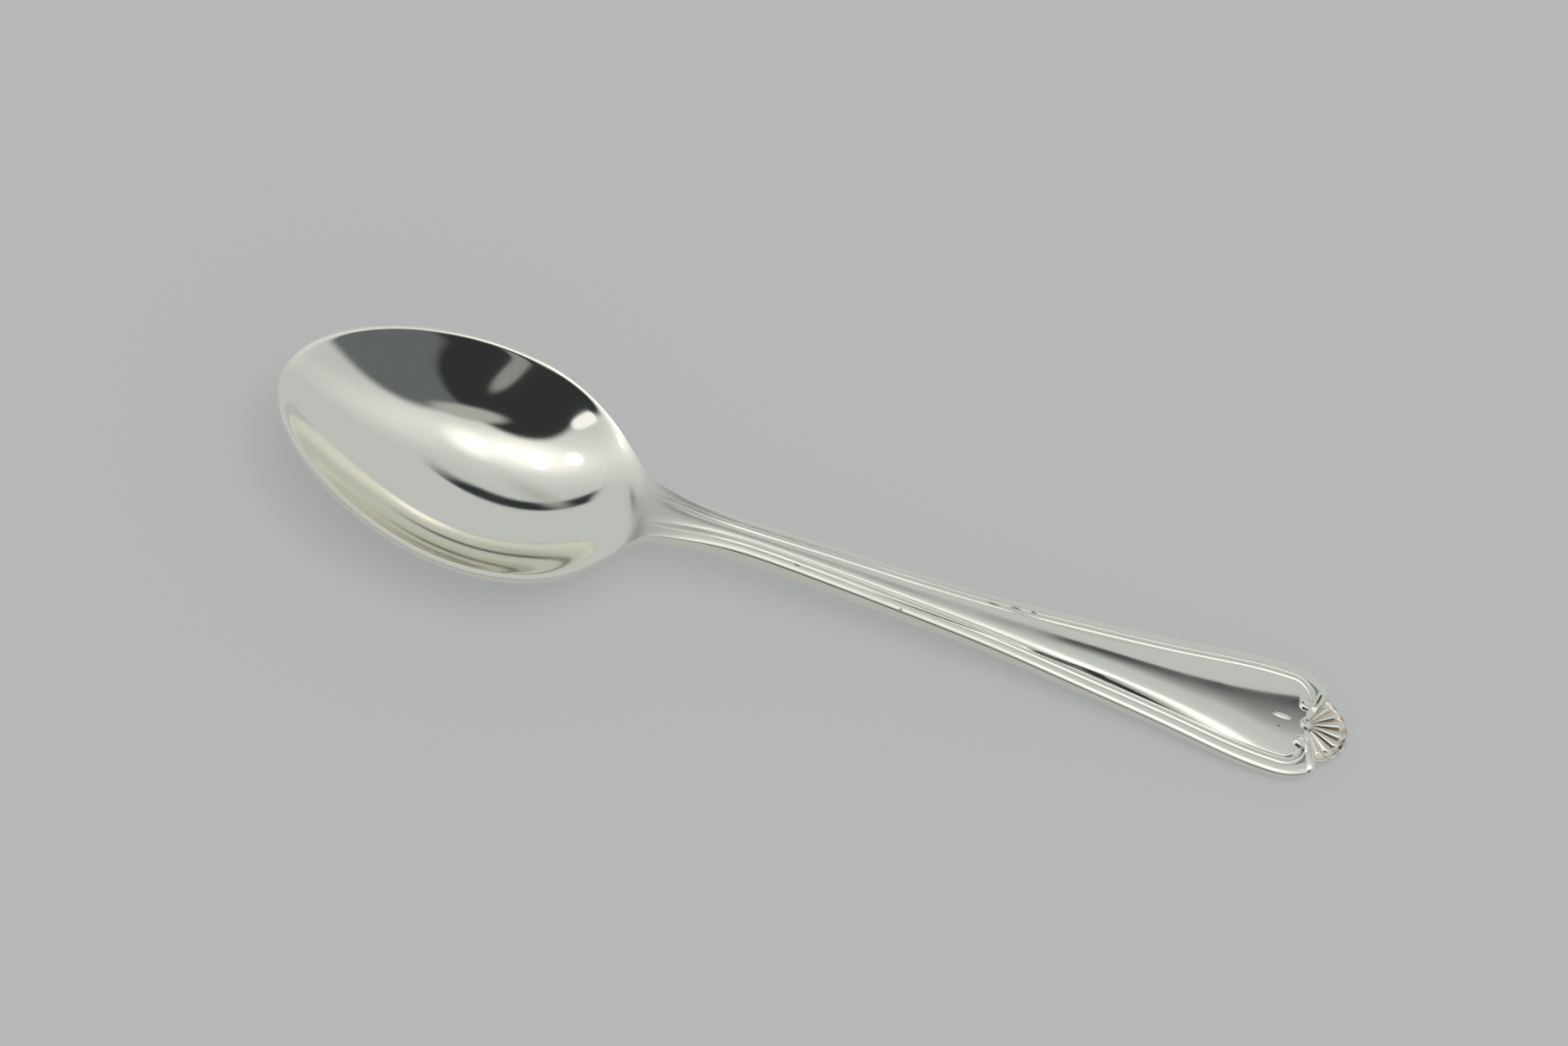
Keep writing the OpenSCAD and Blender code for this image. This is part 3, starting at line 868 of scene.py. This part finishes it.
@dataclass(frozen=True)
class SilverPlate:
    """Mirror-polished silver plate on nickel silver. Sizes are in millimetres."""

    colour: str = "#F7F4EA"
    tarnish: str = "#B98B4E"
    roughness: float = 0.07
    valley_haze: float = 0.22
    groove_stain: float = 0.2
    worn: float = 0.24
    worn_from: tuple[float, float] = (-27.5, -21.5)
    worn_until: tuple[float, float] = (18.0, 40.0)
    hair_size: tuple[float, float, float] = (10 / 3, 1 / 9, 1 / 9)
    hair_detail: float = 2.0
    hair_rough: float = 0.6
    hair_strength: float = 0.03
    hair_height: float = 0.02
    cloud_size: float = 25 / 3
    cloud_detail: float = 3.0
    cloud_from: tuple[float, float] = (0.3, 0.7)
    cloud_to: tuple[float, float] = (0.8, 1.3)
    speck: str = "#43382B"
    speck_half_width: float = 0.17
    speck_half_depth: float = 0.6
    speck_core: float = 0.2
    speck_dark: float = 0.8
    specks: tuple[tuple[float, float, float, float], ...] = (
        (21.9, 2.15, 5.1, 1.1), (24.8, 2.6, 4.75, 1.0), (27.1, 2.8, 4.45, 0.6),
        (-3.0, -1.57, 7.72, 0.6), (10.7, -2.56, 6.2, 0.35), (59.9, -1.43, 2.26, 0.25),
    )

    def stains(
        self, tree: bpy.types.NodeTree, place: bpy.types.NodeSocket
    ) -> bpy.types.NodeSocket:
        """Mark the few dark specks, each with its place and half its length.

        Args:
            tree: The material's node tree.
            place: The place on the spoon.

        Returns:
            How dark a place is stained, from 0 to 1.
        """
        steps = []
        for x, y, z, half in self.specks:
            size = (half * MM, self.speck_half_width * MM, self.speck_half_depth * MM)
            steps += [
                ("local", PLACE, "TEXTURE", "place", (x * MM, y * MM, z * MM), (0, 0, 0), size),
                ("far", VECTOR, "LENGTH", "local"),
                ("mark", RANGE, "SMOOTHSTEP", "far", 1.0, self.speck_core, 0.0, self.speck_dark),
                ("dark", MATH, "MAXIMUM", "dark" if steps else 0.0, "mark"),
            ]
        return work_out(tree, {"place": place}, tuple(steps))

    def material(self) -> bpy.types.Material:
        """Build the finish.

        Electroplated silver, struck from a polished die and buffed: the eye gets a bright,
        slightly warm mirror with hairline wear along the handle, and a faint brown tarnish
        where the polishing cloth doesn't reach.

        Returns:
            The material.
        """
        material = bpy.data.materials.new("silver_plate")
        material.use_nodes = True
        tree = material.node_tree
        tree.nodes.clear()
        place = add(tree, "ShaderNodeTexCoord").outputs["Object"]
        # Hairlines of about 0.1 mm run lengthwise, as buffing and wiping leave them
        scale = tuple(1 / (size * MM) for size in self.hair_size)
        hair = add(
            tree, "ShaderNodeTexNoise",
            {"Vector": add(tree, PLACE, {"Vector": place, "Scale": scale}).outputs[0],
             "Scale": 1.0, "Detail": self.hair_detail, "Roughness": self.hair_rough},
        ).outputs["Fac"]
        # Clouds of some 8 mm, where handling has dulled the plate a little
        cloud = add(
            tree, "ShaderNodeTexNoise",
            {"Vector": place, "Scale": 1 / (self.cloud_size * MM), "Detail": self.cloud_detail},
        ).outputs["Fac"]
        known = {"place": place, "cloud": cloud, "dark": self.stains(tree, place)}
        for name in ("groove", "valley"):
            known[name] = add(tree, "ShaderNodeAttribute", attribute_name=name).outputs["Fac"]
        # The narrow stem is worn hazy by fingers and by the wiping cloth
        begun, ended = ([MM * end for end in ends] for ends in (self.worn_from, self.worn_until))
        work_out(tree, known, (
            ("along", VECTOR, "DOT_PRODUCT", "place", (1, 0, 0)),
            ("worn_in", RANGE, "SMOOTHSTEP", "along", *begun),
            ("worn_out", RANGE, "SMOOTHSTEP", "along", *reversed(ended)),
            ("handled", MATH, "MULTIPLY", "worn_in", "worn_out"),
            ("haze", RANGE, "LINEAR", "handled", 0.0, 1.0, self.roughness, self.worn),
            ("uneven", RANGE, "LINEAR", "cloud", *self.cloud_from, *self.cloud_to),
            ("matt", MATH, "MULTIPLY", "valley", self.valley_haze),
            ("dull", MATH, "MULTIPLY_ADD", "haze", "uneven", "matt"),
            ("deep", MATH, "MULTIPLY_ADD", "groove", self.groove_stain, "valley"),
            ("stained", MATH, "MULTIPLY", "deep", "cloud"),
            ("silver", MIX, "RGBA", "stained", linear_colour(self.colour),
             linear_colour(self.tarnish)),
            ("speckled", MIX, "RGBA", "dark", "silver", linear_colour(self.speck)),
        ))
        bent = add(
            tree, "ShaderNodeBump",
            {"Height": hair, "Strength": self.hair_strength, "Distance": self.hair_height * MM},
        ).outputs[0]
        surface = add(
            tree, "ShaderNodeBsdfPrincipled",
            {"Base Color": known["speckled"], "Metallic": 1.0, "Roughness": known["dull"],
             "Normal": bent},
        )
        add(tree, "ShaderNodeOutputMaterial", {"Surface": surface.outputs[0]})
        return material


@dataclass(frozen=True)
class Press:
    """The drop press: it turns rows into the struck blank and divides it into regions."""

    blank: Blank
    die: BowlDie
    border: ThreadBorder
    shell: ShellTerminal
    edge_round: float = 0.1
    even_over: float = 1.6
    arc_columns: int = 6
    band_columns: int = 14
    thread_columns: int = 24
    panel_columns: int = 40
    low_columns: int = 24
    side_columns: int = 3
    handover_share: float = 0.78
    halvings: int = 30
    thread_room: float = 1.5
    least_row: float = 1e-4
    round_most: float = 1 / 3

    def columns(self, rows: Rows, length: Values, radius: Values) -> Values:
        """Distances from the edge at which each row has its points on the top.

        Args:
            rows: The rows.
            length: Each row's length.
            radius: Each row's edge rounding.

        Returns:
            One line of distances for each row, from the edge to the axis.
        """
        s = rows.outline[:, 0]
        low, high = np.zeros(len(s)), np.ones(len(s))
        for _ in range(self.halvings):
            guess = (low + high) / 2
            place = mix(rows.middle, rows.outline, guess[:, None])
            outside = self.border.offset(place[:, 0], place[:, 1]) > 0
            low, high = np.where(outside, low, guess), np.where(outside, guess, high)
        thread = np.where(
            s < self.blank.spread_start, length / 2, (1 - (low + high) / 2) * length
        )
        reach = self.border.reach
        thread = np.minimum(thread, length - self.thread_room * reach)[:, None]
        long, start = length[:, None], radius[:, None]
        band = np.arange(self.band_columns + 1) / (self.band_columns + 1)
        lines = np.arange(self.thread_columns) / (self.thread_columns - 1)
        panel = np.arange(1, self.panel_columns + 1) / self.panel_columns
        stem = np.concatenate([
            mix(start, thread - reach, band),
            thread - reach + 2 * reach * lines,
            mix(thread + reach, long, panel),
        ], axis=1)
        count = stem.shape[1]
        share = np.arange(count) / (count - 1)
        bowl = long - (long - start) * np.sin(math.pi / 2 * (1 - share))
        place = s / self.blank.bowl_length - self.handover_share
        near = ease(place / (1 - self.handover_share))[:, None]
        even = mix(start, long, share)
        shell = ease((s - self.blank.notch_at) / self.even_over + 1)[:, None]
        return mix(mix(bowl, stem, near), even, shell)

    def relief(self, s: Values, y: Values, d: Values, v: Values) -> Values:
        """Height of the handle's band, panel and terminal, without thread and flutes."""
        zone = self.shell.zone(s, y)
        crown = self.border.crown(s, y, v)
        outer = np.where(v > -self.border.reach, self.border.band(s, d), self.border.band_rise)
        plain = outer + crown
        ending = np.minimum(outer, self.border.band_rise) + self.shell.arm(s, y) + crown
        ending = ending * (1 - zone) + self.shell.bosses(s, y)
        starts = self.border.turn_end - self.border.turn_round - self.shell.lead
        return np.where(s > starts, ending, plain)

    def strike(self, rows: Rows) -> tuple[Values, dict[str, Values]]:
        """Work out the blank's surface, before thread and flutes.

        Args:
            rows: All rows from the bowl's tip to the shell's tip.

        Returns:
            Points by row and column in millimetres, and the fields that the node trees read.
        """
        span = rows.outline - rows.middle
        length = np.maximum(np.hypot(span[:, 0], span[:, 1]), self.least_row)
        radius = np.minimum(self.edge_round, length * self.round_most)
        inner = self.columns(rows, length, radius)
        turn = np.arange(self.arc_columns) / self.arc_columns * math.pi / 2
        arc = radius[:, None] * (1 - np.cos(turn))
        d = np.concatenate([arc, inner], axis=1)
        drop = radius[:, None] * (1 - np.sin(turn))
        sunk = np.concatenate([drop, np.zeros_like(inner)], axis=1)
        s, y = rows.at(1 - d / length[:, None])
        v = self.border.offset(s, y)
        fade = self.border.fade(s)
        z = self.blank.edge(s) - self.die.hollow(s, y) - sunk + fade * self.relief(s, y, d, v)
        zone = self.shell.zone(s, y)
        ahead = self.border.band(s, d) / self.border.band_rise
        turning = s > self.border.turn_end - self.border.turn_round
        left = np.where(turning, self.border.beside_gap(y), 1.0)
        weight = fade ** self.border.weight_power * (1 - zone) * np.where(v > 0, ahead, 1.0)
        fields = {
            "thread_offset": v * MM,
            "thread_weight": weight * left,
            "hub_angle": np.radians(self.shell.hub_angle(s, y)),
            "hub_distance": self.shell.hub_distance(s, y) * MM,
            "shell_zone": zone * (s > self.blank.shoulder_start),
            "edge_distance": d * MM,
        }
        flat = np.arange(self.low_columns + 1) / self.low_columns
        low_share = np.sin(math.pi / 2 * flat) * (1 - radius / length)[:, None]
        low_arc = 1 - (radius / length)[:, None] * (1 - np.cos(turn[::-1]))
        f = np.concatenate([low_share, low_arc], axis=1)
        lift = radius[:, None] * (1 - np.sin(turn[::-1]))
        raised = np.concatenate([np.zeros_like(low_share), lift], axis=1)
        low_s, low_y = rows.at(f)
        under = (
            self.blank.edge(low_s) - self.blank.thickness(low_s) - self.die.under(low_s, low_y)
            - self.blank.belly(low_s) * (1 - f * f)
        )
        low_z = np.maximum(under, 0) + raised
        steps = np.arange(1, self.side_columns) / self.side_columns
        side_z = mix(z[:, :1], low_z[:, -1:], steps)
        top, low = np.stack([s, y, z], -1), np.stack([low_s, low_y, low_z], -1)
        side = np.stack([s[:, :1] + 0 * side_z, y[:, :1] + 0 * side_z, side_z], -1)
        other = np.array([1, -1, 1])
        points = np.concatenate([
            top, (top * other)[:, -2::-1], side * other, (low * other)[:, ::-1],
            low[:, 1:], side[:, ::-1],
        ], axis=1)
        points[:, :, 0] -= self.blank.length / 2
        rest = points.shape[1] - 2 * d.shape[1] + 1
        full = {
            name: np.concatenate(
                [value, value[:, -2::-1], np.zeros((len(value), rest))], axis=1
            )
            for name, value in fields.items()
        }
        return points, full

    def press(
        self, points: Values, fields: dict[str, Values], finish: bpy.types.Material
    ) -> tuple[Values, Values, dict[str, Values]]:
        """Run both node trees over the blank.

        Args:
            points: Points by row and column in millimetres.
            fields: The fields that the trees read, by row and column.
            finish: The material that the trees set.

        Returns:
            Points in metres, their smooth normals, and the fields that the finish reads.
        """
        count, width = points.shape[:2]
        mesh = bpy.data.meshes.new("blank")
        mesh.from_pydata((points.reshape(-1, 3) * MM).tolist(), [], ring_faces(count, width))
        for name, value in fields.items():
            carry(mesh, name, value)
        body = bpy.data.objects.new("blank", mesh)
        bpy.context.scene.collection.objects.link(body)
        for stage in (self.border, self.shell):
            modifier = body.modifiers.new(type(stage).__name__, "NODES")
            modifier.node_group = stage.tree(finish)
            sockets = {
                item.name: item.identifier
                for item in modifier.node_group.interface.items_tree
                if item.in_out == "INPUT"
            }
            for name, value in stage.sizes().items():
                modifier[sockets[name]] = value
        graph = bpy.context.evaluated_depsgraph_get()
        struck = bpy.data.meshes.new_from_object(body.evaluated_get(graph), depsgraph=graph)
        body.modifiers.clear()
        place, normal = read(struck.vertices, "co", 3), read(struck.vertex_normals, "vector", 3)
        kept = {
            name: read(struck.attributes[name].data, "value").reshape(count, width)
            for name in ("groove", "valley")
        }
        bpy.data.objects.remove(body)
        return place.reshape(count, width, 3), normal.reshape(count, width, 3), kept

    def divide(
        self, region: Region, points: Values, normals: Values, kept: dict[str, Values],
        ends: tuple[bool, bool], finish: bpy.types.Material,
    ) -> bpy.types.Object:
        """Close one region of the struck blank into a piece of its own.

        Args:
            region: The region.
            points: Its points by row and column, in metres.
            normals: The whole blank's smooth normals at these points.
            kept: The fields that the finish reads.
            ends: Whether the first and the last row end in a flat cut.
            finish: The piece's material.

        Returns:
            The piece.
        """
        count, width = points.shape[:2]
        faces = ring_faces(count, width)
        if ends[0]:
            faces.append(list(reversed(range(width))))
        if ends[1]:
            faces.append([(count - 1) * width + i for i in range(width)])
        low, high = np.array(CAD_BOX[0]), np.array(CAD_BOX[1])
        mesh = bpy.data.meshes.new(region.value + "_plated")
        mesh.from_pydata(np.clip(points, low, high).reshape(-1, 3).tolist(), [], faces)
        for name, value in kept.items():
            carry(mesh, name, value)
        mesh.attributes.new("struck_normal", "FLOAT_VECTOR", "POINT").data.foreach_set(
            "vector", normals.ravel()
        )
        work = bmesh.new()
        work.from_mesh(mesh)
        bmesh.ops.remove_doubles(work, verts=work.verts, dist=MERGE)
        bmesh.ops.recalc_face_normals(work, faces=work.faces)
        for face in work.faces:
            face.smooth = len(face.verts) <= 4
        work.to_mesh(mesh)
        work.free()
        smooth = read(mesh.attributes["struck_normal"].data, "vector", 3).reshape(-1, 3)
        split = smooth[read(mesh.loops, "vertex_index", 1, np.int32)]
        for polygon in mesh.polygons:
            if not polygon.use_smooth:
                split[list(polygon.loop_indices)] = polygon.normal
        mesh.normals_split_custom_set(split.tolist())
        mesh.attributes.remove(mesh.attributes["struck_normal"])
        mesh.materials.append(finish)
        piece = bpy.data.objects.new(region.value + "_plated", mesh)
        bpy.context.scene.collection.objects.link(piece)
        return piece


def ring_faces(count: int, width: int) -> list[list[int]]:
    """Give the quads between closed rows of points.

    Args:
        count: Number of rows.
        width: Points in a row.

    Returns:
        The quads, facing outwards.
    """
    start = np.arange(count - 1)[:, None] * width
    column = np.arange(width)[None, :]
    following = (column + 1) % width
    quads = np.stack([
        start + column, start + following, start + width + following, start + width + column
    ], -1)
    return quads.reshape(-1, 4).tolist()


@dataclass(frozen=True)
class Patch:
    """A soft-edged oval patch on the round map of the room, whose middle is overhead.

    The map's radius of 1 is the horizon; its second axis points away from the camera.
    """

    place: tuple[float, float]
    radii: tuple[float, float]
    turn: float
    edge: float
    colour: str
    strength: float = 1.0

    def colour_over(
        self, tree: bpy.types.NodeTree, sky: bpy.types.NodeSocket, under: bpy.types.NodeSocket
    ) -> bpy.types.NodeSocket:
        """Paint the patch over what is already there.

        Args:
            tree: The world's node tree.
            sky: The place on the round map.
            under: The colour so far.

        Returns:
            The colour with the patch.
        """
        bright = [part * self.strength for part in linear_colour(self.colour)[:3]]
        return work_out(tree, {"sky": sky, "under": under}, (
            ("local", PLACE, "TEXTURE", "sky", (*self.place, 0),
             (0, 0, math.radians(self.turn)), (*self.radii, 1)),
            ("far", VECTOR, "LENGTH", "local"),
            ("mask", RANGE, "SMOOTHSTEP", "far", 1 + self.edge, 1 - self.edge),
            ("over", MIX, "RGBA", "mask", "under", (*bright, 1.0)),
        ))


@dataclass(frozen=True)
class Studio:
    """The pale table, the soft light round it and the camera.

    The seam is a dark arc on the round map of the room. Its fade and core are given where it
    is thin and where it is thick, and its ends by where they begin and where they are full.
    """

    table: str = "#B7B9B9"
    table_roughness: float = 0.6
    wall: str = "#C0C6C6"
    far_side: tuple[float, float] = (0.352, 0.936)
    seam_middle: tuple[float, float] = (0.08, -0.45)
    seam_radius: float = 0.851
    seam_core: tuple[float, float] = (0.012, 0.062)
    seam_fade: tuple[float, float] = (0.085, 0.088)
    seam_rim: tuple[float, float] = (0.016, 0.004)
    seam_thin_thick: tuple[float, float] = (0.12, 0.0)
    seam_left: tuple[float, float] = (-0.63, -0.57)
    seam_right: tuple[float, float] = (0.3, 0.06)
    seam_colour: str = "#2A2F32"
    patches: tuple[Patch, ...] = (
        Patch((0.45, 0.15), (0.3, 0.14), 40, 0.9, "#DDE2E0"),
        Patch((-0.25, 0.15), (0.2, 0.06), -8, 0.9, "#B0B4B2"),
        Patch((-0.2, -0.22), (0.5, 0.2), 30, 0.9, "#E4E8E6"),
        Patch((-0.05, -0.13), (0.3, 0.1), 27, 0.9, "#FFFFFF", 1.2),
        Patch((0.2, 0.03), (0.1, 0.07), 0, 0.9, "#FFFFFF", 1.25),
        Patch((0.75, -0.25), (0.36, 0.34), 0, 0.12, "#62676A"),
        Patch((0.28, -0.55), (0.44, 0.35), 0, 0.08, "#2E3234"),
        Patch((-0.19, -0.62), (0.055, 0.07), 0, 0.2, "#F4F6F6", 1.1),
        Patch((0.33, -0.2), (0.2, 0.06), 40, 0.3, "#A9ABA8"),
        Patch((0.36, -0.68), (0.05, 0.2), 0, 0.3, "#8C8E8C"),
        Patch((-0.15, -0.13), (0.04, 0.04), 0, 0.8, "#FFFFFF", 3.0),
        Patch((-0.32, -0.3), (0.04, 0.04), 0, 0.8, "#FFFFFF", 3.0),
    )
    elevation: float = 61.74
    azimuth: float = -20.62
    roll: float = 34.65
    distance: float = 1050.5
    aim: tuple[float, float] = (-4.13, 7.21)
    field_of_view: float = 10.24
    table_half: float = 3.0
    glow_share: float = 0.6
    lamp_share: float = 0.3
    lamp_size: float = 45.0

    def lay_table(self) -> None:
        """Lay the floor, a matt painted board.

        Its faint glow stands for the light that the plate throws back under the spoon.
        """
        tint = linear_colour(self.table)
        material = bpy.data.materials.new("painted_board")
        material.use_nodes = True
        tree = material.node_tree
        tree.nodes.clear()
        surface = add(
            tree, "ShaderNodeBsdfPrincipled",
            {"Base Color": (*(part * (1 - self.glow_share) for part in tint[:3]), 1.0),
             "Emission Color": tint, "Emission Strength": self.glow_share,
             "Roughness": self.table_roughness, "Specular IOR Level": 0.0},
        )
        add(tree, "ShaderNodeOutputMaterial", {"Surface": surface.outputs[0]})
        half = self.table_half
        mesh = bpy.data.meshes.new("table_top")
        corners = [(-half, -half, 0), (half, -half, 0), (half, half, 0), (-half, half, 0)]
        mesh.from_pydata(corners, [], [(0, 1, 2, 3)])
        mesh.materials.append(material)
        table = bpy.data.objects.new("table_top", mesh)
        bpy.context.scene.collection.objects.link(table)

    def light(self) -> None:
        """Set the soft light of the room."""
        world = bpy.data.worlds.new("soft_room")
        bpy.context.scene.world = world
        world.use_nodes = True
        tree = world.node_tree
        tree.nodes.clear()
        fx, fy = self.far_side
        fade, core = (
            [self.seam_radius - part for part in pair] for pair in (self.seam_fade, self.seam_core)
        )
        path = add(tree, "ShaderNodeLightPath").outputs
        known = {name: path[f"Is {name} Ray"] for name in ("Camera", "Glossy", "Transmission")}
        known["ray"] = add(tree, "ShaderNodeTexCoord").outputs["Generated"]
        work_out(tree, known, (
            ("far", VECTOR, "DOT_PRODUCT", "ray", (fx, fy, 0)),
            ("across", VECTOR, "DOT_PRODUCT", "ray", (fy, -fx, 0)),
            ("high", VECTOR, "DOT_PRODUCT", "ray", (0, 0, 1)),
            ("angle", MATH, "ARCCOSINE", "high"),
            ("out", MATH, "DIVIDE", "angle", math.pi / 2),
            ("flat", "ShaderNodeCombineXYZ", None, "across", "far"),
            ("aim", VECTOR, "NORMALIZE", "flat"),
            ("sky", VECTOR, "SCALE", "aim", "out"),
            ("from_seam", VECTOR, "DISTANCE", "sky", (*self.seam_middle, 0)),
            ("side", VECTOR, "DOT_PRODUCT", "sky", (1, 0, 0)),
            ("faint", RANGE, "LINEAR", "side", *self.seam_thin_thick, *fade),
            ("full", RANGE, "LINEAR", "side", *self.seam_thin_thick, *core),
            ("inside", RANGE, "SMOOTHSTEP", "from_seam", "faint", "full"),
            ("outside", RANGE, "SMOOTHSTEP", "from_seam",
             *(self.seam_radius + part for part in self.seam_rim)),
            ("left", RANGE, "SMOOTHSTEP", "side", *self.seam_left),
            ("right", RANGE, "SMOOTHSTEP", "side", *self.seam_right),
            ("arc", MATH, "MULTIPLY", "inside", "outside"),
            ("begun", MATH, "MULTIPLY", "arc", "left"),
            ("shade", MATH, "MULTIPLY", "begun", "right"),
            ("colour", MIX, "RGBA", "shade", linear_colour(self.wall),
             linear_colour(self.seam_colour)),
            ("direct", MATH, "MAXIMUM", "Camera", "Glossy"),
            ("shown", MATH, "MAXIMUM", "direct", "Transmission"),
        ))
        colour = known["colour"]
        for patch in self.patches:
            colour = patch.colour_over(tree, known["sky"], colour)
        seen, plain = (
            add(tree, "ShaderNodeBackground", {"Color": tint, "Strength": strength}).outputs[0]
            for tint, strength in ((colour, 1.0), ((1, 1, 1, 1), 1 - self.lamp_share))
        )
        surface = add(
            tree, "ShaderNodeMixShader", {0: known["shown"], 1: plain, 2: seen}
        ).outputs[0]
        add(tree, "ShaderNodeOutputWorld", {"Surface": surface})

    def hang_lamp(self) -> None:
        """Hang a soft lamp overhead.

        The plate doesn't mirror it: the lamps that it mirrors are patches of the room.
        """
        light = bpy.data.lights.new("soft_lamp", "SUN")
        light.energy = math.pi * self.lamp_share
        light.angle = math.radians(self.lamp_size)
        lamp = bpy.data.objects.new("soft_lamp", light)
        lamp.visible_glossy = False
        bpy.context.scene.collection.objects.link(lamp)

    def set_camera(self) -> None:
        """Set the camera at the photograph's angle."""
        e, a = math.radians(self.elevation), math.radians(self.azimuth)
        back = Vector((math.sin(a) * math.cos(e), -math.cos(a) * math.cos(e), math.sin(e)))
        right = Vector((math.cos(a), math.sin(a), 0))
        up = back.cross(right)
        turn = math.radians(self.roll)
        across = right * math.cos(turn) + up * math.sin(turn)
        above = up * math.cos(turn) - right * math.sin(turn)
        stand = Vector((self.aim[0], self.aim[1], 0)) * MM + back * self.distance * MM
        lens = bpy.data.cameras.new("camera")
        lens.sensor_fit = "HORIZONTAL"
        lens.angle = math.radians(self.field_of_view)
        camera = bpy.data.objects.new("camera", lens)
        turned = Matrix((across, above, back)).transposed().to_4x4()
        camera.matrix_world = Matrix.Translation(stand) @ turned
        bpy.context.scene.collection.objects.link(camera)
        bpy.context.scene.camera = camera


def main() -> None:
    """Build the studio and the spoon, and attach every piece to the root body in place of its
    imported part.
    """
    logging.basicConfig(level=logging.INFO, format="%(name)s: %(message)s", stream=sys.stdout)
    scene = bpy.context.scene
    scene.view_settings.view_transform = "Standard"
    studio = Studio()
    studio.set_camera()
    studio.lay_table()
    studio.light()
    studio.hang_lamp()
    blank = Blank()
    border = ThreadBorder(blank)
    shell = ShellTerminal(blank, border)
    press = Press(blank, BowlDie(blank), border, shell)
    finish = SilverPlate().material()
    parts = (Bowl(blank), Stem(blank), ShellEnd(blank, shell))
    runs = [part.rows() for part in parts]
    whole = runs[0].join(runs[1]).join(runs[2])
    points, fields = press.strike(whole)
    place, normal, kept = press.press(points, fields, finish)
    first = 0
    for number, (part, run) in enumerate(zip(parts, runs)):
        last = first + len(run.outline) - (1 if number == 0 else 0)
        window = slice(first, last + 1)
        piece = press.divide(
            part.region, place[window], normal[window],
            {name: value[window] for name, value in kept.items()},
            (number > 0, number < len(parts) - 1), finish,
        )
        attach(piece, "root")
        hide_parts(part.region.value)
        LOG.info("%s: %d vertices, %d faces", piece.name, len(piece.data.vertices),
                 len(piece.data.polygons))
        first = last


if __name__ == "__main__":
    main()
